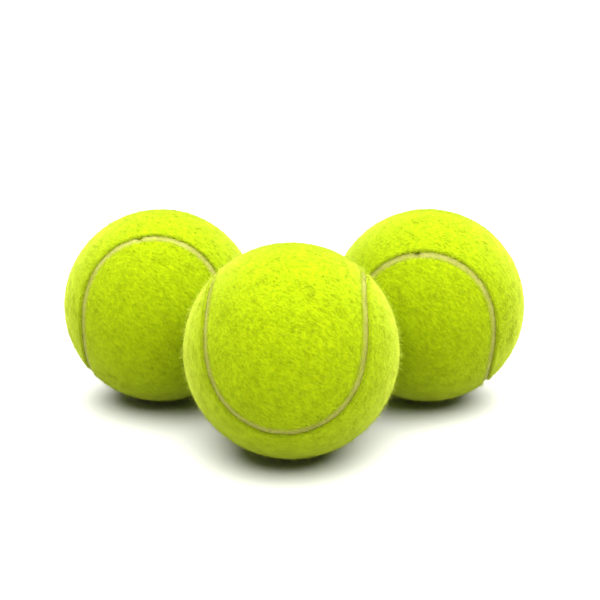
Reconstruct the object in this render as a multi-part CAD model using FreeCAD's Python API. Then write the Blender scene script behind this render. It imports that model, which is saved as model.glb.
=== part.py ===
"""A set of three loose pressurised tennis balls, resting on a flat floor.

One ball stands in front and touches the two behind it, which stand apart. Every ball is built the same way,
from the inside out: two rubber cups butt-joined with cement into a hollow core that holds the gas, a thin coat of
rubber cement all over the core, and two dumbbell-shaped felt panels that wrap round each other. The raised strip
of seam rubber between the panels lies a little below the felt.

Frame: millimetres, +Z up, the floor at Z = 0, the front ball towards -Y, and the origin on the floor under the
middle of the set's outline.
"""

import FreeCAD
import Part
import math
import os

# Ball, from the outside in
BALL_DIAMETER = 67.0
FELT_THICKNESS = 3.0
CEMENT_COAT = 0.2
CORE_WALL = 3.4

BALL_RADIUS = BALL_DIAMETER / 2
FELT_BACK_RADIUS = BALL_RADIUS - FELT_THICKNESS
CORE_RADIUS = FELT_BACK_RADIUS - CEMENT_COAT
HOLLOW_RADIUS = CORE_RADIUS - CORE_WALL

# Butt joint between the two core cups
JOINT_THICKNESS = 0.3
BEAD_RADIUS = 0.6

# Seam between the felt panels: its width at the felt's back, how far each felt edge leans away by the time it
# reaches the surface, and how far the rubber lies below the surface
SEAM_WIDTH = 2.4
EDGE_LEAN = 0.2
SEAM_RECESS = 0.8

# Shape of the seam's middle line: the weights of its third harmonic and of its rise and fall
SEAM_THIRD = 0.263
SEAM_RISE = 0.772
SEAM_POINTS = 72

# The walls that cut the felt run this far past both of its faces
CUT_MARGIN = 1.0

# Places of the balls: the two behind stand this far apart, and the front one touches both but for a gap
REAR_SPACING = 92.2
TOUCH_GAP = 0.3

# How each ball happens to lie, which shows in where its seam runs: yaw, pitch and roll in degrees
FRONT_TURN = (-46.9, -14.1, -12.4)
LEFT_TURN = (45.5, 10.0, -7.1)
RIGHT_TURN = (37.0, 3.5, 3.6)

ORIGIN = FreeCAD.Vector(0, 0, 0)
UP = FreeCAD.Vector(0, 0, 1)

# The felt's spheres have their own poles on this line, which meets the ball well away from the seam
FELT_POLES = FreeCAD.Vector(1, -1, 0.3)


def seam_direction(t):
    """Unit vector from the ball's centre to the seam's middle line, where t runs from 0 to 2 pi."""
    across = math.cos(t) + SEAM_THIRD * math.cos(3 * t)
    along = math.sin(t) - SEAM_THIRD * math.sin(3 * t)
    return FreeCAD.Vector(across, along, SEAM_RISE * math.sin(2 * t)).normalize()


def beside_seam(t, radius, offset):
    """Point at that radius, an offset away from the middle line as measured on the ball's surface."""
    step = 1e-4
    middle = seam_direction(t)
    tangent = seam_direction(t + step) - seam_direction(t - step)
    sideways = middle.cross(tangent).normalize()
    angle = offset / BALL_RADIUS
    return (middle * math.cos(angle) + sideways * math.sin(angle)) * radius


def closed_curve(radius, offset):
    """Smooth closed edge that follows the seam."""
    turn = 2 * math.pi
    points = [beside_seam(turn * i / SEAM_POINTS, radius, offset) for i in range(SEAM_POINTS)]
    curve = Part.BSplineCurve()
    curve.interpolate(Points=points, PeriodicFlag=True)
    return curve.toShape()


def seam_wall(side):
    """Wall between the seam and one felt panel, through the felt's whole thickness and a margin past it."""
    slope = EDGE_LEAN / FELT_THICKNESS
    deep = FELT_BACK_RADIUS - CUT_MARGIN
    high = BALL_RADIUS + CUT_MARGIN
    half_deep = SEAM_WIDTH / 2 - slope * CUT_MARGIN
    half_high = SEAM_WIDTH / 2 + slope * (FELT_THICKNESS + CUT_MARGIN)
    return Part.makeRuledSurface(closed_curve(deep, side * half_deep), closed_curve(high, side * half_high))


def hollow_ball(outer, inner, poles=UP):
    """Spherical shell centred on the origin."""
    return Part.makeSphere(outer, ORIGIN, poles).cut(Part.makeSphere(inner, ORIGIN, poles))


def piece_at(place, top_radius):
    """Piece that holds a place, out of a layer on the felt's back that both seam walls have cut through."""
    layer = hollow_ball(top_radius, FELT_BACK_RADIUS, FELT_POLES)
    pieces = layer.generalFuse([seam_wall(1), seam_wall(-1)])[0].Solids
    return next(piece for piece in pieces if piece.isInside(place, 1e-6, False))


def felt_panel(side):
    """Dumbbell-shaped felt panel; side is 1 for the one whose waist is over +Z and -1 for the one under -Z."""
    waist = UP * side * (BALL_RADIUS - FELT_THICKNESS / 2)
    return piece_at(waist, BALL_RADIUS)


def seam_rubber():
    """Closed strip of rubber between the panels, which stops a little below the felt's surface."""
    top_radius = BALL_RADIUS - SEAM_RECESS
    in_strip = seam_direction(0) * (FELT_BACK_RADIUS + top_radius) / 2
    return piece_at(in_strip, top_radius)


def core_cup(side):
    """Half of the rubber core, with a flat rim; side is 1 for the cup above the joint and -1 for the one below."""
    shell = hollow_ball(CORE_RADIUS, HOLLOW_RADIUS)
    size = 2 * BALL_RADIUS
    half_space = Part.makeBox(size, size, size, FreeCAD.Vector(-size / 2, -size / 2, JOINT_THICKNESS / 2))
    if side < 0:
        half_space = half_space.mirror(ORIGIN, UP)
    return shell.common(half_space).Solids[0]


def core_joint(cups):
    """Ring of cement between the cups' rims, with the bead that it squeezes out into the hollow."""
    foot = FreeCAD.Vector(0, 0, -JOINT_THICKNESS / 2)
    disc = Part.makeCylinder(BALL_RADIUS, JOINT_THICKNESS, foot, UP)
    ring = disc.common(hollow_ball(CORE_RADIUS, HOLLOW_RADIUS))
    bead = Part.makeTorus(HOLLOW_RADIUS, BEAD_RADIUS)
    for cup in cups:
        bead = bead.cut(cup)
    bead = bead.common(Part.makeSphere(CORE_RADIUS))
    return ring.fuse(bead).removeSplitter().Solids[0]


def ball_pieces():
    """Every piece of one ball, centred on the origin, by name."""
    cups = [core_cup(1), core_cup(-1)]
    return {
        "felt_panel_a": felt_panel(1),
        "felt_panel_b": felt_panel(-1),
        "seam_rubber": seam_rubber(),
        "cement_coat": hollow_ball(FELT_BACK_RADIUS, CORE_RADIUS),
        "core_cup_a": cups[0],
        "core_cup_b": cups[1],
        "core_joint": core_joint(cups),
    }


def ball_places():
    """Centre of each ball and how it is turned."""
    half_spacing = REAR_SPACING / 2
    touching = BALL_DIAMETER + TOUCH_GAP
    half_depth = math.sqrt(touching**2 - half_spacing**2) / 2
    return {
        "front": (FreeCAD.Vector(0, -half_depth, BALL_RADIUS), FRONT_TURN),
        "left": (FreeCAD.Vector(-half_spacing, half_depth, BALL_RADIUS), LEFT_TURN),
        "right": (FreeCAD.Vector(half_spacing, half_depth, BALL_RADIUS), RIGHT_TURN),
    }


def main():
    os.makedirs("parts", exist_ok=True)
    pieces = ball_pieces()
    for which, (centre, turn) in ball_places().items():
        place = FreeCAD.Placement(centre, FreeCAD.Rotation(*turn))
        for name, shape in pieces.items():
            placed = shape.copy()
            placed.Placement = place.multiply(shape.Placement)
            placed.exportStep(f"parts/{which}_{name}.step")
            print(which, name, placed.isValid(), len(placed.Solids), round(placed.Volume, 1))


main()
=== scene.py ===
"""The looks of three loose tennis balls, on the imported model's frame.

Every ball gets five pieces in place of its CAD felt and seam: two felt panels with rounded, slightly lumpy
faces, the nap of wool fibres that stands on each panel, and the low rounded strip of seam rubber. The core
cups, their joint and the cement coat stay as the CAD made them, with materials.
"""

import math

import bpy
import numpy as np
from mathutils import Matrix, Vector


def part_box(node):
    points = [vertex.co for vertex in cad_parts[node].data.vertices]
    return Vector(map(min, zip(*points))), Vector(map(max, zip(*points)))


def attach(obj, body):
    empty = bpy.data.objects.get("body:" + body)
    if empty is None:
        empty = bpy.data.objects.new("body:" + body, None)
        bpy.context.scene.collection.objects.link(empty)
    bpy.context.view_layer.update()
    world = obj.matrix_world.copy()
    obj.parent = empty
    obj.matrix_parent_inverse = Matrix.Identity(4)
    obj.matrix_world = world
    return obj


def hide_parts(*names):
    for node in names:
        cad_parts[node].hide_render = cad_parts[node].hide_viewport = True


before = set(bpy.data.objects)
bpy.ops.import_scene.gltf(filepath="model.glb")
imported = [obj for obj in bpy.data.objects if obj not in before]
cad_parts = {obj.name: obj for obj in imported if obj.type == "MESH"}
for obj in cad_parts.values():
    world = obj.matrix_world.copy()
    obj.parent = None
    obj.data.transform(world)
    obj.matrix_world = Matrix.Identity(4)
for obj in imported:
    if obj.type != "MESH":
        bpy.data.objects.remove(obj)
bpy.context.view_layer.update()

MM = 0.001
BALLS = ("front", "left", "right")

# Seeds of the random draws: how far apart the balls' are, and how far apart two pieces' of one ball
BALL_SEED_STEP = 100
PIECE_SEED_STEP = 10

# How each ball lies, and the shape of its seam's middle line: the same values as in the CAD
TURNS = {
    "front": (-46.9, -14.1, -12.4),
    "left": (45.5, 10.0, -7.1),
    "right": (37.0, 3.5, 3.6),
}
SEAM_THIRD = 0.263
SEAM_RISE = 0.772

# Search for the seam's nearest point: places tried, blocks that the points are taken in, rounds of refining,
# and the cosine of the angle within which a place is near enough to refine
SEARCH_PLACES = 360
SEARCH_BLOCKS = 20
SEARCH_ROUNDS = 4
SEARCH_COSINE = 0.9

# Felt, by its distance from the seam's middle line and its depth below the ball's own radius
FELT_EDGE = 1.4 * MM
FELT_BACK_EDGE = 1.2 * MM
FELT_BACK_DEPTH = 3.0 * MM
SKIN_DEPTH = 0.3 * MM
EDGE_ROUND = 0.9 * MM
EDGE_DROP = 0.4 * MM
EDGE_WALL_STEPS = 4

# The felt's grid: cells along a side of the cube it is blown up from, decimals to which welded points agree,
# and how near the felt's edge a point has to be to move onto it, as a share of a cell
GRID_CELLS = 116
WELD_DECIMALS = 9
SNAP_SHARE = 0.3

# Balls whose centres are nearer than this many radii touch, and their nap is pressed flat between them
TOUCHING = 2.1

# Tufts in the felt's face: their height, their width, how much longer they are than wide, and the number of
# waves they are made of
TUFT_HEIGHT = 0.05 * MM
TUFT_WIDTH = (0.8 * MM, 1.8 * MM)
TUFT_STRETCH = 2.2
TUFT_WAVES = 160

# The way the nap lies on the whole, as a direction and as the turn of its material's texture, and the slow
# swirls that turn it aside
NAP_LIE = (0.75, -0.1, -0.65)
LIE_TURN = (0, math.radians(41), 0)
SWIRL_WIDTH = (6 * MM, 30 * MM)
SWIRL_WAVES = 16
SWIRL_SHARE = 0.45

# Fibres of a panel's nap: those in tufts, those spread evenly, and those along the felt's edge that hang
# over the seam. More places are tried than are needed, this many times as many, as some miss the panel.
TUFTED_FIBRES = 5000
EVEN_FIBRES = 10500
EDGE_FIBRES = 3500
PLACES_TRIED = 3
TUFT_FIBRES = 9
TUFT_SPREAD = 0.8 * MM
EDGE_REACH = 0.9 * MM
FIBRE_LENGTH = (0.8 * MM, 2.2 * MM)
EDGE_FIBRE_LENGTH = (0.8 * MM, 2.0 * MM)

# How far fibres turn from the lie of the nap, in radians: whole tufts, single fibres, and from root to tip
TUFT_SWING = 0.5
TUFTED_SWING = 0.25
EVEN_SWING = 0.75
EDGE_SWING = 0.8
FIBRE_CURL = 0.8

# One fibre's shape: its radius, how far it rises at most, what share of that it reaches, and how high its
# root, middle and tip are as shares of its rise
FIBRE_RADIUS = (0.03 * MM, 0.06 * MM)
FIBRE_RISE = 0.36 * MM
RISE_SHARE = (0.2, 1)
FIBRE_BOW = (0.25, 1.0, 0.5)
ROOT_DEPTH = 0.06 * MM
MIDDLE_WIDTH = 0.8
FIBRE_FLATNESS = 0.35
FIBRE_ROUNDNESS = 0.4

# Stray fibres, which stand up from the felt
STRAY_SHARE = 0.28
STRAY_RISE = 1.8 * MM
STRAY_BOW = (0.0, 0.5, 1.0)
STRAY_THINNESS = 0.7

# Painted glow of the nap, which its material reads: how pale a fibre is painted in place of light through
# the standing fibres, at its middle against its tip, and at least, along the edge, as a painted highlight on
# the felt's edge
PAINTED_GLOW_ATTRIBUTE = "pale"
MIDDLE_PAINTED_GLOW = 0.6
EDGE_PAINTED_HIGHLIGHT = 0.5

# Seam rubber: its section, and how it sways, swells and roughens along its length, each with its own waves
SEAM_HALF_WIDTH = 1.3 * MM
SEAM_TOP_DEPTH = 0.8 * MM
SEAM_CROWN = 0.16 * MM
SEAM_FOOT_DEPTH = 2.6 * MM
SEAM_FOOT_SHARE = 0.8
SEAM_SWAY = 0.08 * MM
SEAM_SWAY_WIDTH = (4 * MM, 25 * MM)
SEAM_SWELL = 0.08
SEAM_SWELL_WIDTH = (1.5 * MM, 12 * MM)
SEAM_ROUGHNESS = 0.05 * MM
SEAM_ROUGHNESS_WIDTH = (1.0 * MM, 6 * MM)
SEAM_STEPS = 900
SEAM_LINES = 9

# One small pit in the seam where its ends meet, at this t of the seam
PIT_PLACES = {"front": 0.606, "left": 3.826, "right": 3.843}
PIT_LENGTH = 0.9 * MM
PIT_DEPTH = 0.9 * MM

# Camera, aimed at a point near the middle of the set
CAMERA_AIM = Vector((2.4, 0.0, 42.5)) * MM
CAMERA_DISTANCE = 392.1 * MM
CAMERA_AZIMUTH = math.radians(0.73)
CAMERA_ELEVATION = math.radians(16.32)
CAMERA_ROLL = math.radians(-0.19)
CAMERA_LENS = 72.14
CAMERA_CLIP_START = 10 * MM
SENSOR_WIDTH = 36.0

# Felt and nap share the bump of their tufts, the tint and spread of their sheen, and their faint gloss
TUFT_BUMP = 0.3 * MM
TUFT_BUMP_STRENGTH = 0.7
SHEEN_TINT = (0.90, 1.0, 0.14)
SHEEN_ROUGHNESS = 0.4
WOOL_GLOSS = 0.03

# Studio: floor in metres, how much light the white surroundings give and how bright they look, and the broad
# light from overhead
FLOOR_SIZE = 30.0
SURROUNDINGS = 0.12
BACKGROUND = 1.2
OVERHEAD = 13.7
OVERHEAD_SPREAD = math.radians(96)
OVERHEAD_FROM = (0.09, 0.0, 1.0)


def unit(vectors):
    """The same directions at length one."""
    return vectors / np.linalg.norm(vectors, axis=-1, keepdims=True)


def dot(first, second):
    """Dot products, row by row."""
    return np.sum(first * second, axis=-1)


def ball_centre(ball):
    """Centre of the ball, from its CAD cement coat."""
    low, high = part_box(f"{ball}_cement_coat")
    return np.array((low + high) / 2)


BALL_RADIUS = float(ball_centre("front")[2])


# The seam and the felt's outline


def seam_direction(t):
    """Unit vectors from a ball's centre to the seam's middle line, where t runs from 0 to 2 pi."""
    across = np.cos(t) + SEAM_THIRD * np.cos(3 * t)
    along = np.sin(t) - SEAM_THIRD * np.sin(3 * t)
    return unit(np.stack([across, along, SEAM_RISE * np.sin(2 * t)], axis=-1))


def seam_axes(t):
    """Direction of the seam's middle line, its tangent, the way across it to panel a, and its speed in t."""
    step = 1e-4
    middle = seam_direction(t)
    travel = (seam_direction(t + step) - seam_direction(t - step)) / (2 * step)
    speed = np.linalg.norm(travel, axis=-1)
    tangent = travel / speed[..., None]
    return middle, tangent, unit(np.cross(middle, tangent)), speed


def beside_seam(t, offset):
    """Unit vectors to points a distance over the ball from the seam's middle line, on panel a's side."""
    middle, _, sideways, _ = seam_axes(t)
    angle = np.asarray(offset / BALL_RADIUS)[..., None]
    return middle * np.cos(angle) + sideways * np.sin(angle)


def place_by_seam(directions):
    """Distance of each unit vector from the seam, positive on panel a, and the t of its nearest point."""
    ticks = np.linspace(0, 2 * math.pi, SEARCH_PLACES, endpoint=False)
    line = seam_direction(ticks).T
    blocks = np.array_split(directions, SEARCH_BLOCKS)
    t = np.concatenate([ticks[np.argmax(block @ line, axis=1)] for block in blocks])
    for _ in range(SEARCH_ROUNDS):
        middle, tangent, sideways, speed = seam_axes(t)
        near = dot(directions, middle) > SEARCH_COSINE
        t = t + np.where(near, dot(directions, tangent) / speed, 0)
    middle, _, sideways, _ = seam_axes(t)
    angle = np.arctan2(np.linalg.norm(np.cross(middle, directions), axis=1), dot(middle, directions))
    return angle * BALL_RADIUS * np.sign(dot(directions, sideways)), t


# Meshes


def waves(points, shortest, longest, seed, count=60):
    """Smooth random field over points, mostly from -1 to 1: a sum of sine waves, each its own way."""
    rng = np.random.default_rng(seed)
    lengths = np.exp(rng.uniform(math.log(shortest), math.log(longest), count))
    turns = unit(rng.normal(size=(count, 3))) * (2 * math.pi / lengths)[:, None]
    phases = rng.uniform(0, 2 * math.pi, count)
    return np.sin(points @ turns.T + phases).sum(axis=1) * math.sqrt(2 / count) / 2


def ball_grid(cells):
    """Unit sphere in triangles: a cube's six faces, each cut into cells by cells, blown up and welded."""
    ticks = np.tan(np.linspace(-math.pi / 4, math.pi / 4, cells + 1))
    u, v = np.meshgrid(ticks, ticks, indexing="ij")
    corner = np.arange(u.size).reshape(u.shape)
    a, b, c, d = corner[:-1, :-1], corner[1:, :-1], corner[1:, 1:], corner[:-1, 1:]
    split = np.stack([np.stack([a, b, c], -1), np.stack([a, c, d], -1)]).reshape(-1, 3)
    points, triangles = [], []
    for axis in range(3):
        for side in (1, -1):
            face = np.stack([np.full_like(u, side), u * side, v], axis=-1).reshape(-1, 3)
            triangles.append(split + len(points) * u.size)
            points.append(np.roll(face, axis, axis=1))
    directions = unit(np.concatenate(points))
    rounded = np.round(directions, WELD_DECIMALS)
    _, first, welded = np.unique(rounded, axis=0, return_index=True, return_inverse=True)
    return directions[first], welded.reshape(-1)[np.concatenate(triangles)]


def cut_at_felt_edge(directions, triangles):
    """The grid on panel a's side, cut exactly along the felt's edge, with each point's distance and t."""
    offset, t = place_by_seam(directions)
    cell = math.pi / 2 * BALL_RADIUS / GRID_CELLS
    close = np.abs(offset - FELT_EDGE) < SNAP_SHARE * cell
    offset[close] = FELT_EDGE
    kept = (offset >= FELT_EDGE)[triangles].sum(axis=1)
    whole = triangles[(kept == 3) & ~close[triangles].all(axis=1)]
    cuts, pieces = {}, []
    for corners in triangles[(kept > 0) & (kept < 3)]:
        outline = []
        for here, there in zip(corners, np.roll(corners, -1), strict=True):
            if offset[here] >= FELT_EDGE:
                outline.append(here)
            if (offset[here] - FELT_EDGE) * (offset[there] - FELT_EDGE) < 0:
                pair = (min(here, there), max(here, there))
                outline.append(cuts.setdefault(pair, len(directions) + len(cuts)))
        pieces += [(outline[0], outline[i], outline[i + 1]) for i in range(1, len(outline) - 1)]
    first, second = np.array(list(cuts)).T
    share = ((FELT_EDGE - offset[first]) / (offset[second] - offset[first]))[:, None]
    added = unit(directions[first] * (1 - share) + directions[second] * share)
    directions = np.concatenate([directions, added])
    offset = np.concatenate([offset, np.full(len(added), FELT_EDGE)])
    t = np.concatenate([t, place_by_seam(added)[1]])
    on_edge = offset == FELT_EDGE
    directions[on_edge] = beside_seam(t[on_edge], FELT_EDGE)
    used, renumbered = np.unique(np.concatenate([whole, pieces]), return_inverse=True)
    return directions[used], renumbered.reshape(-1, 3), offset[used], t[used]


def rim_edges(triangles):
    """Edges that only one triangle has, in that triangle's own direction."""
    edges = np.concatenate([triangles[:, [0, 1]], triangles[:, [1, 2]], triangles[:, [2, 0]]])
    _, at, count = np.unique(np.sort(edges, axis=1), axis=0, return_index=True, return_counts=True)
    return edges[at[count == 1]]


def new_piece(name, points, faces, material, ball, replaced):
    """A smooth-shaded mesh object that rides on its ball and stands for a CAD node."""
    mesh = bpy.data.meshes.new(name)
    mesh.from_pydata(points.tolist(), [], faces.tolist())
    mesh.polygons.foreach_set("use_smooth", np.ones(len(mesh.polygons), bool))
    mesh.update()
    mesh.validate()
    piece = bpy.data.objects.new(name, mesh)
    bpy.context.scene.collection.objects.link(piece)
    piece.data.materials.append(material)
    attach(piece, f"{ball}_ball")
    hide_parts(replaced)
    return piece


def half_turn(panel):
    """Panel b is panel a turned by half a turn about the ball's own X."""
    return np.diag([1.0, 1.0, 1.0] if panel == "a" else [1.0, -1.0, -1.0])


def ball_turn(ball):
    """Rotation of the ball: roll about X, then pitch about Y, then yaw about Z."""
    yaw, pitch, roll = (math.radians(angle) for angle in TURNS[ball])
    turn = Matrix.Rotation(yaw, 3, "Z") @ Matrix.Rotation(pitch, 3, "Y") @ Matrix.Rotation(roll, 3, "X")
    return np.array(turn)


def settle(points, ball):
    """Presses points flat where they would pass through the floor or into a ball that this one touches."""
    centre = ball_centre(ball)
    for other in BALLS:
        between = ball_centre(other) - centre
        apart = np.linalg.norm(between)
        if 0 < apart < TOUCHING * BALL_RADIUS:
            reach = (points - centre) @ between / apart - apart / 2
            points = points - np.maximum(reach, 0)[:, None] * between / apart
    points[:, 2] = np.maximum(points[:, 2], 0)
    return points


def in_place(points, ball, panel="a"):
    """Points of a ball at the origin, moved to where that ball and panel are."""
    return settle(points @ (ball_turn(ball) @ half_turn(panel)).T + ball_centre(ball), ball)


def edge_drop(offset):
    """How far the felt rounds off towards its edge, as a quarter of an ellipse."""
    share = np.clip((FELT_EDGE + EDGE_ROUND - offset) / EDGE_ROUND, 0, 1)
    return EDGE_DROP * (1 - np.sqrt(1 - share**2))


def nap_lie(ball, panel):
    """The way the ball's nap lies on the whole, in the panel's own axes."""
    return unit((ball_turn(ball) @ half_turn(panel)).T @ np.array(NAP_LIE))


def felt_face(directions, offset, lie, seed):
    """Points of the felt's face: tufted, and rounded off towards its edge."""
    squeezed = directions - (1 - 1 / TUFT_STRETCH) * (directions @ lie)[:, None] * lie
    lumps = waves(squeezed * BALL_RADIUS, *TUFT_WIDTH, seed, TUFT_WAVES)
    lumps = lumps * TUFT_HEIGHT * np.clip((offset - FELT_EDGE) / EDGE_ROUND, 0, 1)
    return directions * (BALL_RADIUS - SKIN_DEPTH - edge_drop(offset) + lumps)[:, None]


def edge_wall(rim, t, first):
    """The felt's cut edge: its rings of points, numbered from first on, their faces and the last ring."""
    around = np.unique(rim)
    start, end = np.searchsorted(around, rim).T
    rings, faces = [], []
    before = around
    for level in np.linspace(0, 1, EDGE_WALL_STEPS + 1)[1:]:
        side = FELT_EDGE + (FELT_BACK_EDGE - FELT_EDGE) * level
        high = BALL_RADIUS - SKIN_DEPTH - EDGE_DROP
        radius = high * (1 - level) + (BALL_RADIUS - FELT_BACK_DEPTH) * level
        rings.append(beside_seam(t[around], side) * radius)
        after = np.arange(len(around)) + first
        first += len(around)
        faces.append(np.stack([before[start], after[start], after[end]], -1))
        faces.append(np.stack([before[start], after[end], before[end]], -1))
        before = after
    return rings, faces, before


def felt_panel(ball, panel, grid, material, seed):
    """Closed felt panel: tufted rounded face, cut edge down to the core, and back."""
    directions, triangles, offset, t = grid
    face = felt_face(directions, offset, nap_lie(ball, panel), seed)
    rim = rim_edges(triangles)
    rings, walls, last = edge_wall(rim, t, len(face))
    back = directions * (BALL_RADIUS - FELT_BACK_DEPTH)
    to_back = np.arange(len(back)) + len(face) + sum(len(ring) for ring in rings)
    to_back[np.unique(rim)] = last
    points = np.concatenate([face, *rings, back])
    faces = np.concatenate([triangles, *walls, to_back[triangles[:, ::-1]]])
    used, renumbered = np.unique(faces, return_inverse=True)
    points, faces = in_place(points[used], ball, panel), renumbered.reshape(-1, 3)
    name = f"{ball}_felt_{panel}"
    return new_piece(name, points, faces, material, ball, f"{ball}_felt_panel_{panel}")


def nap_heading(directions, lie, seed):
    """The way the nap lies at each point: along the ball's own lie, but for slow swirls."""
    points = directions * BALL_RADIUS
    swirl = np.stack([waves(points, *SWIRL_WIDTH, seed + i, SWIRL_WAVES) for i in range(3)], axis=-1)
    along = lie + SWIRL_SHARE * swirl
    return unit(along - directions * dot(along, directions)[:, None])


def turned(heading, directions, angle):
    """Headings turned by an angle within the ball's surface."""
    angle = angle[:, None]
    return heading * np.cos(angle) + np.cross(directions, heading) * np.sin(angle)


def fibre_roots(lie, seed, rng):
    """Root, heading and length of every fibre on panel a: tufted, evenly spread, and along the edge."""
    middles = unit(rng.normal(size=(PLACES_TRIED * TUFTED_FIBRES // TUFT_FIBRES, 3)))
    scatter = rng.normal(0, TUFT_SPREAD / BALL_RADIUS, (len(middles) * TUFT_FIBRES, 3))
    tufted = unit(np.repeat(middles, TUFT_FIBRES, axis=0) + scatter)
    tuft_turn = np.repeat(rng.normal(0, TUFT_SWING, len(middles)), TUFT_FIBRES)
    tuft_turn = tuft_turn + rng.normal(0, TUFTED_SWING, len(tufted))
    even = unit(rng.normal(size=(PLACES_TRIED * EVEN_FIBRES, 3)))
    even_turn = rng.normal(0, EVEN_SWING, len(even))
    roots, headings = [], []
    for tries, turn, count in ((tufted, tuft_turn, TUFTED_FIBRES), (even, even_turn, EVEN_FIBRES)):
        chosen = np.flatnonzero(place_by_seam(tries)[0] > FELT_EDGE)[:count]
        here = tries[chosen]
        roots.append(here)
        headings.append(turned(nap_heading(here, lie, seed), here, turn[chosen]))
    t = rng.uniform(0, 2 * math.pi, EDGE_FIBRES)
    here = beside_seam(t, FELT_EDGE + EDGE_REACH * rng.random(EDGE_FIBRES))
    roots.append(here)
    headings.append(turned(-seam_axes(t)[2], here, rng.normal(0, EDGE_SWING, EDGE_FIBRES)))
    lengths = [rng.uniform(*FIBRE_LENGTH, TUFTED_FIBRES + EVEN_FIBRES)]
    lengths.append(rng.uniform(*EDGE_FIBRE_LENGTH, EDGE_FIBRES))
    return np.concatenate(roots), np.concatenate(headings), np.concatenate(lengths)


def face_radius(directions):
    """Radius of the felt's face at each point, but for its tufts."""
    return BALL_RADIUS - SKIN_DEPTH - edge_drop(place_by_seam(directions)[0])


def fibre_corners(here, heading, length, curl, thick, rise, bow):
    """Corners of each fibre and their normals: three round its root, three round its middle, and its tip."""
    corners, outward = [], []
    for lift, depth, width in ((bow[0], ROOT_DEPTH, 1.0), (bow[1], 0.0, MIDDLE_WIDTH)):
        radius = face_radius(here) + rise * lift - depth
        side = np.cross(here, heading)
        for spoke in (-side, side, FIBRE_FLATNESS * here):
            corners.append(here * radius[:, None] + spoke * (thick * width)[:, None])
            outward.append(here + FIBRE_ROUNDNESS * spoke)
        here = unit(here + heading * (length / 2 / BALL_RADIUS)[:, None])
        heading = turned(unit(heading - here * dot(heading, here)[:, None]), here, curl)
    corners.append(here * (face_radius(here) + rise * bow[2])[:, None])
    outward.append(here)
    return np.stack(corners, axis=1), np.stack(outward, axis=1)


def fibre_faces(count):
    """Triangles of that many fibres: the end at the root, three sides, and the point."""
    tip = 6
    faces = [(0, 2, 1)]
    for k in range(3):
        after = (k + 1) % 3
        faces += [(k, after, after + 3), (k, after + 3, k + 3), (k + 3, after + 3, tip)]
    first = (tip + 1) * np.arange(count)[:, None, None]
    return (np.array(faces)[None] + first).reshape(-1, 3)


def fibre_painted_glow(stray, rise):
    """How pale each fibre is painted at each of its corners: painted glow that grows with a stray fibre's
    rise, and a painted highlight along the felt's edge.
    """
    pale = np.where(stray, rise / STRAY_RISE, 0)
    # Painted highlight: fibres along the felt's edge are at least this pale, for the lit edge of the felt
    pale[-EDGE_FIBRES:] = np.maximum(pale[-EDGE_FIBRES:], EDGE_PAINTED_HIGHLIGHT)
    return pale[:, None] * np.array([0] * 3 + [MIDDLE_PAINTED_GLOW] * 3 + [1])


def nap(ball, panel, material, seed):
    """The felt panel's nap: short bent fibres, each a thin closed spike, most lying flat and some astray."""
    rng = np.random.default_rng(seed)
    here, heading, length = fibre_roots(nap_lie(ball, panel), seed, rng)
    curl = rng.normal(0, FIBRE_CURL, len(here))
    stray = rng.random(len(here)) < STRAY_SHARE
    thick = rng.uniform(*FIBRE_RADIUS, len(here)) * np.where(stray, STRAY_THINNESS, 1)
    rise = np.where(stray, STRAY_RISE, FIBRE_RISE) * rng.uniform(*RISE_SHARE, len(here))
    bow = np.where(stray, np.array(STRAY_BOW)[:, None], np.array(FIBRE_BOW)[:, None])
    points, outward = fibre_corners(here, heading, length, curl, thick, rise, bow)
    points = in_place(points.reshape(-1, 3), ball, panel)
    name = f"{ball}_nap_{panel}"
    cad_node = f"{ball}_felt_panel_{panel}"
    piece = new_piece(name, points, fibre_faces(len(here)), material, ball, cad_node)
    facing = unit(outward.reshape(-1, 3)) @ (ball_turn(ball) @ half_turn(panel)).T
    piece.data.normals_split_custom_set_from_vertices(facing.tolist())
    # Painted glow and painted highlight: each corner's share of the pale tip colour
    painted_glow = piece.data.attributes.new(PAINTED_GLOW_ATTRIBUTE, "FLOAT", "POINT")
    painted_glow.data.foreach_set("value", fibre_painted_glow(stray, rise).reshape(-1))
    return piece


def seam_rings(ball, seed):
    """Lines of points along the seam strip, from one side over its crown to the other and back under it."""
    t = np.linspace(0, 2 * math.pi, SEAM_STEPS, endpoint=False)
    line = seam_direction(t) * BALL_RADIUS
    sway = waves(line, *SEAM_SWAY_WIDTH, seed) * SEAM_SWAY
    swell = 1 + SEAM_SWELL * waves(line, *SEAM_SWELL_WIDTH, seed + 1)
    height = waves(line, *SEAM_ROUGHNESS_WIDTH, seed + 2) * SEAM_ROUGHNESS
    from_pit = np.linalg.norm(line - seam_direction(PIT_PLACES[ball]) * BALL_RADIUS, axis=1)
    height = height - PIT_DEPTH * np.exp(-((from_pit / PIT_LENGTH) ** 2))
    rings = []
    for share in np.linspace(-1, 1, SEAM_LINES):
        side = sway + share * SEAM_HALF_WIDTH * swell
        depth = SEAM_TOP_DEPTH + SEAM_CROWN * share**2 - height
        rings.append(beside_seam(t, side) * (BALL_RADIUS - depth)[:, None])
    for share in (SEAM_FOOT_SHARE, -SEAM_FOOT_SHARE):
        rings.append(beside_seam(t, sway + share * SEAM_HALF_WIDTH) * (BALL_RADIUS - SEAM_FOOT_DEPTH))
    return rings


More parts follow.
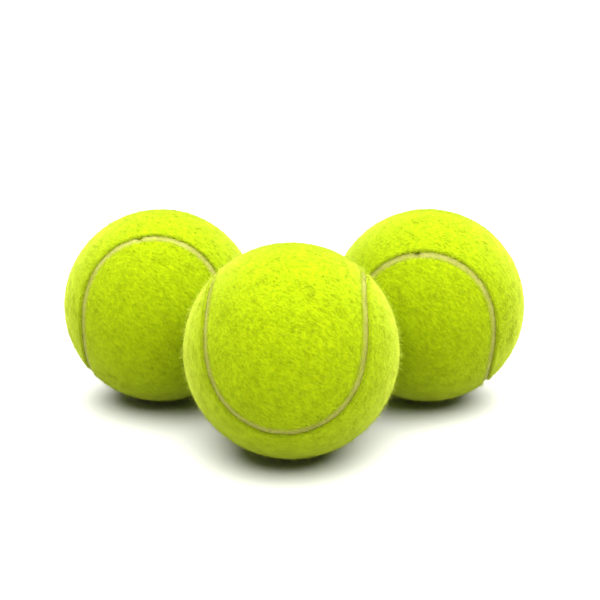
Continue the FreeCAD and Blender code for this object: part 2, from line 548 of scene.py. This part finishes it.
def seam_strip(ball, material, seed):
    """The strip of seam rubber: one closed band with a low uneven crown, and a pit where its ends meet."""
    rings = seam_rings(ball, seed)
    points = in_place(np.concatenate(rings), ball)
    steps = np.arange(SEAM_STEPS)
    ahead = (steps + 1) % SEAM_STEPS
    faces = []
    for ring in range(len(rings)):
        low = ring * SEAM_STEPS
        high = (ring + 1) % len(rings) * SEAM_STEPS
        faces.append(np.stack([low + steps, low + ahead, high + ahead, high + steps], -1))
    faces = np.concatenate(faces)
    return new_piece(f"{ball}_seam", points, faces, material, ball, f"{ball}_seam_rubber")


# Materials

WHITE = (1.0, 1.0, 1.0)


def grey(value):
    """Colour that stands for a plain value."""
    return (value, value, value)


class Nodes:
    """A material's node tree, with short ways to add to it."""

    def __init__(self, name):
        self.material = bpy.data.materials.new(name)
        self.material.use_nodes = True
        self.tree = self.material.node_tree
        self.shader = self.tree.nodes["Principled BSDF"]
        self.place = self.add("ShaderNodeTexCoord").outputs["Object"]

    def add(self, kind, **values):
        """New node, with its properties or input values set by name."""
        node = self.tree.nodes.new(kind)
        for key, value in values.items():
            if hasattr(node, key):
                setattr(node, key, value)
            else:
                node.inputs[key.replace("_", " ").title()].default_value = value
        return node

    def link(self, source, target):
        """Link between two sockets."""
        self.tree.links.new(source, target)

    def noise(self, size, detail=3.0, roughness=0.5, turn=(0, 0, 0), stretch=(1, 1, 1), distortion=0.0):
        """Noise from 0 to 1 with features about that size in metres, and stretched along turned axes."""
        node = self.add("ShaderNodeTexNoise", scale=1 / size, detail=detail, roughness=roughness)
        node.inputs["Distortion"].default_value = distortion
        place = self.place
        if stretch != (1, 1, 1):
            mapping = self.add("ShaderNodeMapping", vector_type="TEXTURE")
            mapping.inputs["Rotation"].default_value = turn
            mapping.inputs["Scale"].default_value = stretch
            self.link(place, mapping.inputs["Vector"])
            place = mapping.outputs["Vector"]
        self.link(place, node.inputs["Vector"])
        return node.outputs["Fac"]

    def ramp(self, value, *stops):
        """Colour ramp over a value, from (position, colour) stops."""
        node = self.add("ShaderNodeValToRGB")
        elements = node.color_ramp.elements
        for element, (position, colour) in zip(elements, (stops[0], stops[-1]), strict=True):
            element.position = position
            element.color = (*colour, 1)
        for position, colour in stops[1:-1]:
            elements.new(position).color = (*colour, 1)
        self.link(value, node.inputs["Fac"])
        return node.outputs["Color"]

    def mix(self, first, second, share, blend="MIX"):
        """Mix of two colours; the share is a number or a socket."""
        node = self.add("ShaderNodeMix", data_type="RGBA", blend_type=blend)
        if isinstance(share, float):
            node.inputs[0].default_value = share
        else:
            self.link(share, node.inputs[0])
        self.link(first, node.inputs[6])
        self.link(second, node.inputs[7])
        return node.outputs[2]

    def bump(self, height, distance, strength=1.0, below=None):
        """Bump from a height, on top of another bump's normal."""
        node = self.add("ShaderNodeBump", distance=distance, strength=strength)
        self.link(height, node.inputs["Height"])
        if below:
            self.link(below, node.inputs["Normal"])
        return node.outputs["Normal"]

    def finish(self, colour, normal, roughness, specular=0.5):
        """Wires up the shader and returns the material; the roughness is a number or a socket."""
        self.link(colour, self.shader.inputs["Base Color"])
        self.link(normal, self.shader.inputs["Normal"])
        if isinstance(roughness, float):
            self.shader.inputs["Roughness"].default_value = roughness
        else:
            self.link(roughness, self.shader.inputs["Roughness"])
        self.shader.inputs["Specular IOR Level"].default_value = specular
        return self.material

    def finish_wool(self, colour, normal, roughness, sheen):
        """Wires up the shader for wool, with the sheen that felt and nap share, and returns the material."""
        self.shader.inputs["Sheen Weight"].default_value = sheen
        self.shader.inputs["Sheen Tint"].default_value = (*SHEEN_TINT, 1)
        self.shader.inputs["Sheen Roughness"].default_value = SHEEN_ROUGHNESS
        return self.finish(colour, normal, roughness, WOOL_GLOSS)

    def tufts(self):
        """The pattern of small tufts that felt and nap share, drawn out along the way the nap lies; it gives
        both their bump and their painted shade.
        """
        return self.noise(0.8 * MM, 3, 0.55, LIE_TURN, (2.6, 1, 1), 0.4)


def felt_material():
    """Needled wool felt: yellow-green with faint mottling, painted shade in the tufts' hollows and along
    dark fibre strokes, and a pale sheen.
    """
    nodes = Nodes("felt")
    tuft = nodes.tufts()
    strokes = nodes.noise(0.5 * MM, 3, 0.6, LIE_TURN, (3.2, 1, 1), 0.8)
    # Painted shade: darker in the tufts' hollows and lighter on their ridges, following the tufts' bump
    painted_hollow_shade, painted_ridge_light = (0.207, 0.281, 0.001), (0.273, 0.347, 0.001)
    base = nodes.ramp(tuft, (0.3, painted_hollow_shade), (0.7, painted_ridge_light))
    cool, warm = (0.24, 0.328, 0.001), (0.254, 0.328, 0.001)
    tint = nodes.ramp(nodes.noise(12 * MM, 2), (0.35, cool), (0.65, warm))
    colour = nodes.mix(base, tint, 0.4)
    # Painted shade: darker along the fibre strokes that also bump the felt
    painted_shade = nodes.ramp(strokes, (0.38, (0.70, 0.76, 0.5)), (0.58, WHITE))
    colour = nodes.mix(colour, painted_shade, 1.0, "MULTIPLY")
    normal = nodes.bump(tuft, TUFT_BUMP, TUFT_BUMP_STRENGTH)
    normal = nodes.bump(strokes, 0.06 * MM, 0.7, normal)
    return nodes.finish_wool(colour, normal, 0.95, sheen=0.65)


def nap_material():
    """Single wool fibres of the nap: much like the felt, not all alike, with painted shade over the tufts'
    hollows, and a painted pale glow where they stand off and along the felt's edge.
    """
    nodes = Nodes("nap")
    tuft = nodes.tufts()
    own = nodes.noise(0.7 * MM, 3, 0.7)
    dark, middle, light = (0.14, 0.20, 0.001), (0.21, 0.275, 0.001), (0.30, 0.37, 0.002)
    base = nodes.ramp(own, (0.34, dark), (0.5, middle), (0.66, light))
    # Painted shade: fibres darker over the tufts' hollows and lighter over their ridges, like the felt below
    painted_hollow_shade, painted_ridge_light = (0.20, 0.267, 0.001), (0.25, 0.32, 0.001)
    colour = nodes.mix(base, nodes.ramp(tuft, (0.3, painted_hollow_shade), (0.7, painted_ridge_light)), 0.5)
    # Painted glow: the pale colour that fibres are mixed towards by their painted glow share
    tip = nodes.add("ShaderNodeRGB")
    tip.outputs[0].default_value = (0.38, 0.46, 0.03, 1)
    pale = nodes.add("ShaderNodeAttribute", attribute_name=PAINTED_GLOW_ATTRIBUTE)
    colour = nodes.mix(colour, tip.outputs[0], pale.outputs["Fac"])
    normal = nodes.bump(tuft, TUFT_BUMP, TUFT_BUMP_STRENGTH)
    return nodes.finish_wool(colour, normal, 0.9, sheen=0.55)


def seam_material():
    """Grey-tan vulcanised rubber, matt, stained green by the dye of the felt, with small pores darkened by
    painted shade.
    """
    nodes = Nodes("seam rubber")
    stain = nodes.noise(5 * MM, 3)
    pores = nodes.noise(0.35 * MM, 3, 0.65)
    stained, clean = (0.21, 0.217, 0.03), (0.27, 0.272, 0.06)
    base = nodes.ramp(stain, (0.35, stained), (0.7, clean))
    # Painted shade: darker in the pores that also bump the rubber
    painted_shade = nodes.ramp(pores, (0.32, (0.70, 0.68, 0.60)), (0.55, WHITE))
    colour = nodes.mix(base, painted_shade, 1.0, "MULTIPLY")
    normal = nodes.bump(pores, 0.08 * MM, 0.7)
    roughness = nodes.ramp(stain, (0.3, grey(0.6)), (0.7, grey(0.75)))
    return nodes.finish(colour, normal, roughness, specular=0.15)


def core_material():
    """Black moulded rubber, dusted, with a fine mould texture."""
    nodes = Nodes("core rubber")
    dust = nodes.noise(6 * MM, 4)
    grain = nodes.noise(0.4 * MM, 2)
    clean, dusty = grey(0.018), (0.05, 0.048, 0.045)
    colour = nodes.ramp(dust, (0.35, clean), (0.7, dusty))
    normal = nodes.bump(grain, 0.05 * MM, 0.5)
    roughness = nodes.ramp(dust, (0.3, grey(0.5)), (0.7, grey(0.75)))
    return nodes.finish(colour, normal, roughness)


def cement_material():
    """Dried rubber cement: dull tan, streaky from the dip."""
    nodes = Nodes("rubber cement")
    streaks = nodes.noise(3 * MM, 3, stretch=(1, 1, 4), distortion=0.6)
    lumps = nodes.noise(0.6 * MM, 3)
    thick, thin = (0.42, 0.36, 0.22), (0.58, 0.51, 0.34)
    colour = nodes.ramp(streaks, (0.3, thick), (0.7, thin))
    normal = nodes.bump(lumps, 0.04 * MM, 0.6)
    roughness = nodes.ramp(lumps, (0.3, grey(0.45)), (0.7, grey(0.65)))
    return nodes.finish(colour, normal, roughness)


def floor_material():
    """Plain off-white studio surface, matt."""
    nodes = Nodes("floor")
    tone = nodes.noise(200 * MM, 2)
    dull, bright = (0.535, 0.535, 0.495), (0.555, 0.555, 0.515)
    colour = nodes.ramp(tone, (0.3, dull), (0.7, bright))
    normal = nodes.bump(nodes.noise(2 * MM, 2), 0.01 * MM, 0.1)
    return nodes.finish(colour, normal, 0.6, specular=0.2)


# Scene


def build_balls():
    """All the pieces of the three balls."""
    felt, fibre, seam = felt_material(), nap_material(), seam_material()
    grid = cut_at_felt_edge(*ball_grid(GRID_CELLS))
    for number, ball in enumerate(BALLS):
        seed = BALL_SEED_STEP * (number + 1)
        for panel in "ab":
            seed += PIECE_SEED_STEP
            felt_panel(ball, panel, grid, felt, seed)
            nap(ball, panel, fibre, seed)
        seam_strip(ball, seam, seed + PIECE_SEED_STEP)


def paint_cad_nodes():
    """Materials of the pieces that stay as the CAD made them."""
    core, cement = core_material(), cement_material()
    for name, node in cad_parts.items():
        if "_core_cup_" in name:
            node.data.materials[0] = core
        elif "cement" in name or "core_joint" in name:
            node.data.materials[0] = cement


def add_floor():
    """Large floor that the balls stand on."""
    bpy.ops.mesh.primitive_plane_add(size=FLOOR_SIZE)
    floor = bpy.context.object
    floor.name = "floor"
    floor.data.materials.append(floor_material())


def add_surroundings():
    """Surroundings that look white to the camera, but give the set little light."""
    world = bpy.data.worlds.new("studio")
    world.use_nodes = True
    background = world.node_tree.nodes["Background"]
    background.inputs["Color"].default_value = (1, 1, 1, 1)
    seen = world.node_tree.nodes.new("ShaderNodeLightPath")
    strength = world.node_tree.nodes.new("ShaderNodeMapRange")
    strength.inputs["To Min"].default_value = SURROUNDINGS
    strength.inputs["To Max"].default_value = BACKGROUND
    world.node_tree.links.new(seen.outputs["Is Camera Ray"], strength.inputs["Value"])
    world.node_tree.links.new(strength.outputs["Result"], background.inputs["Strength"])
    bpy.context.scene.world = world


def add_light():
    """Very broad soft light from overhead that reaches all of the floor."""
    light = bpy.data.lights.new("overhead", "SUN")
    light.energy = OVERHEAD
    light.angle = OVERHEAD_SPREAD
    lamp = bpy.data.objects.new("overhead", light)
    lamp.rotation_euler = Vector(OVERHEAD_FROM).to_track_quat("Z", "Y").to_euler()
    bpy.context.scene.collection.objects.link(lamp)


def add_camera():
    """Camera on the aim point, turned by a slight roll about its own view."""
    camera = bpy.data.cameras.new("camera")
    camera.lens = CAMERA_LENS
    camera.sensor_width = SENSOR_WIDTH
    camera.clip_start = CAMERA_CLIP_START
    view = Matrix.Rotation(CAMERA_AZIMUTH, 4, "Z") @ Matrix.Rotation(math.pi / 2 - CAMERA_ELEVATION, 4, "X")
    view = view @ Matrix.Rotation(CAMERA_ROLL, 4, "Z")
    holder = bpy.data.objects.new("camera", camera)
    holder.matrix_world = Matrix.Translation(CAMERA_AIM) @ view @ Matrix.Translation((0, 0, CAMERA_DISTANCE))
    bpy.context.scene.collection.objects.link(holder)
    bpy.context.scene.camera = holder
    bpy.context.scene.view_settings.view_transform = "Standard"


build_balls()
paint_cad_nodes()
add_floor()
add_surroundings()
add_light()
add_camera()
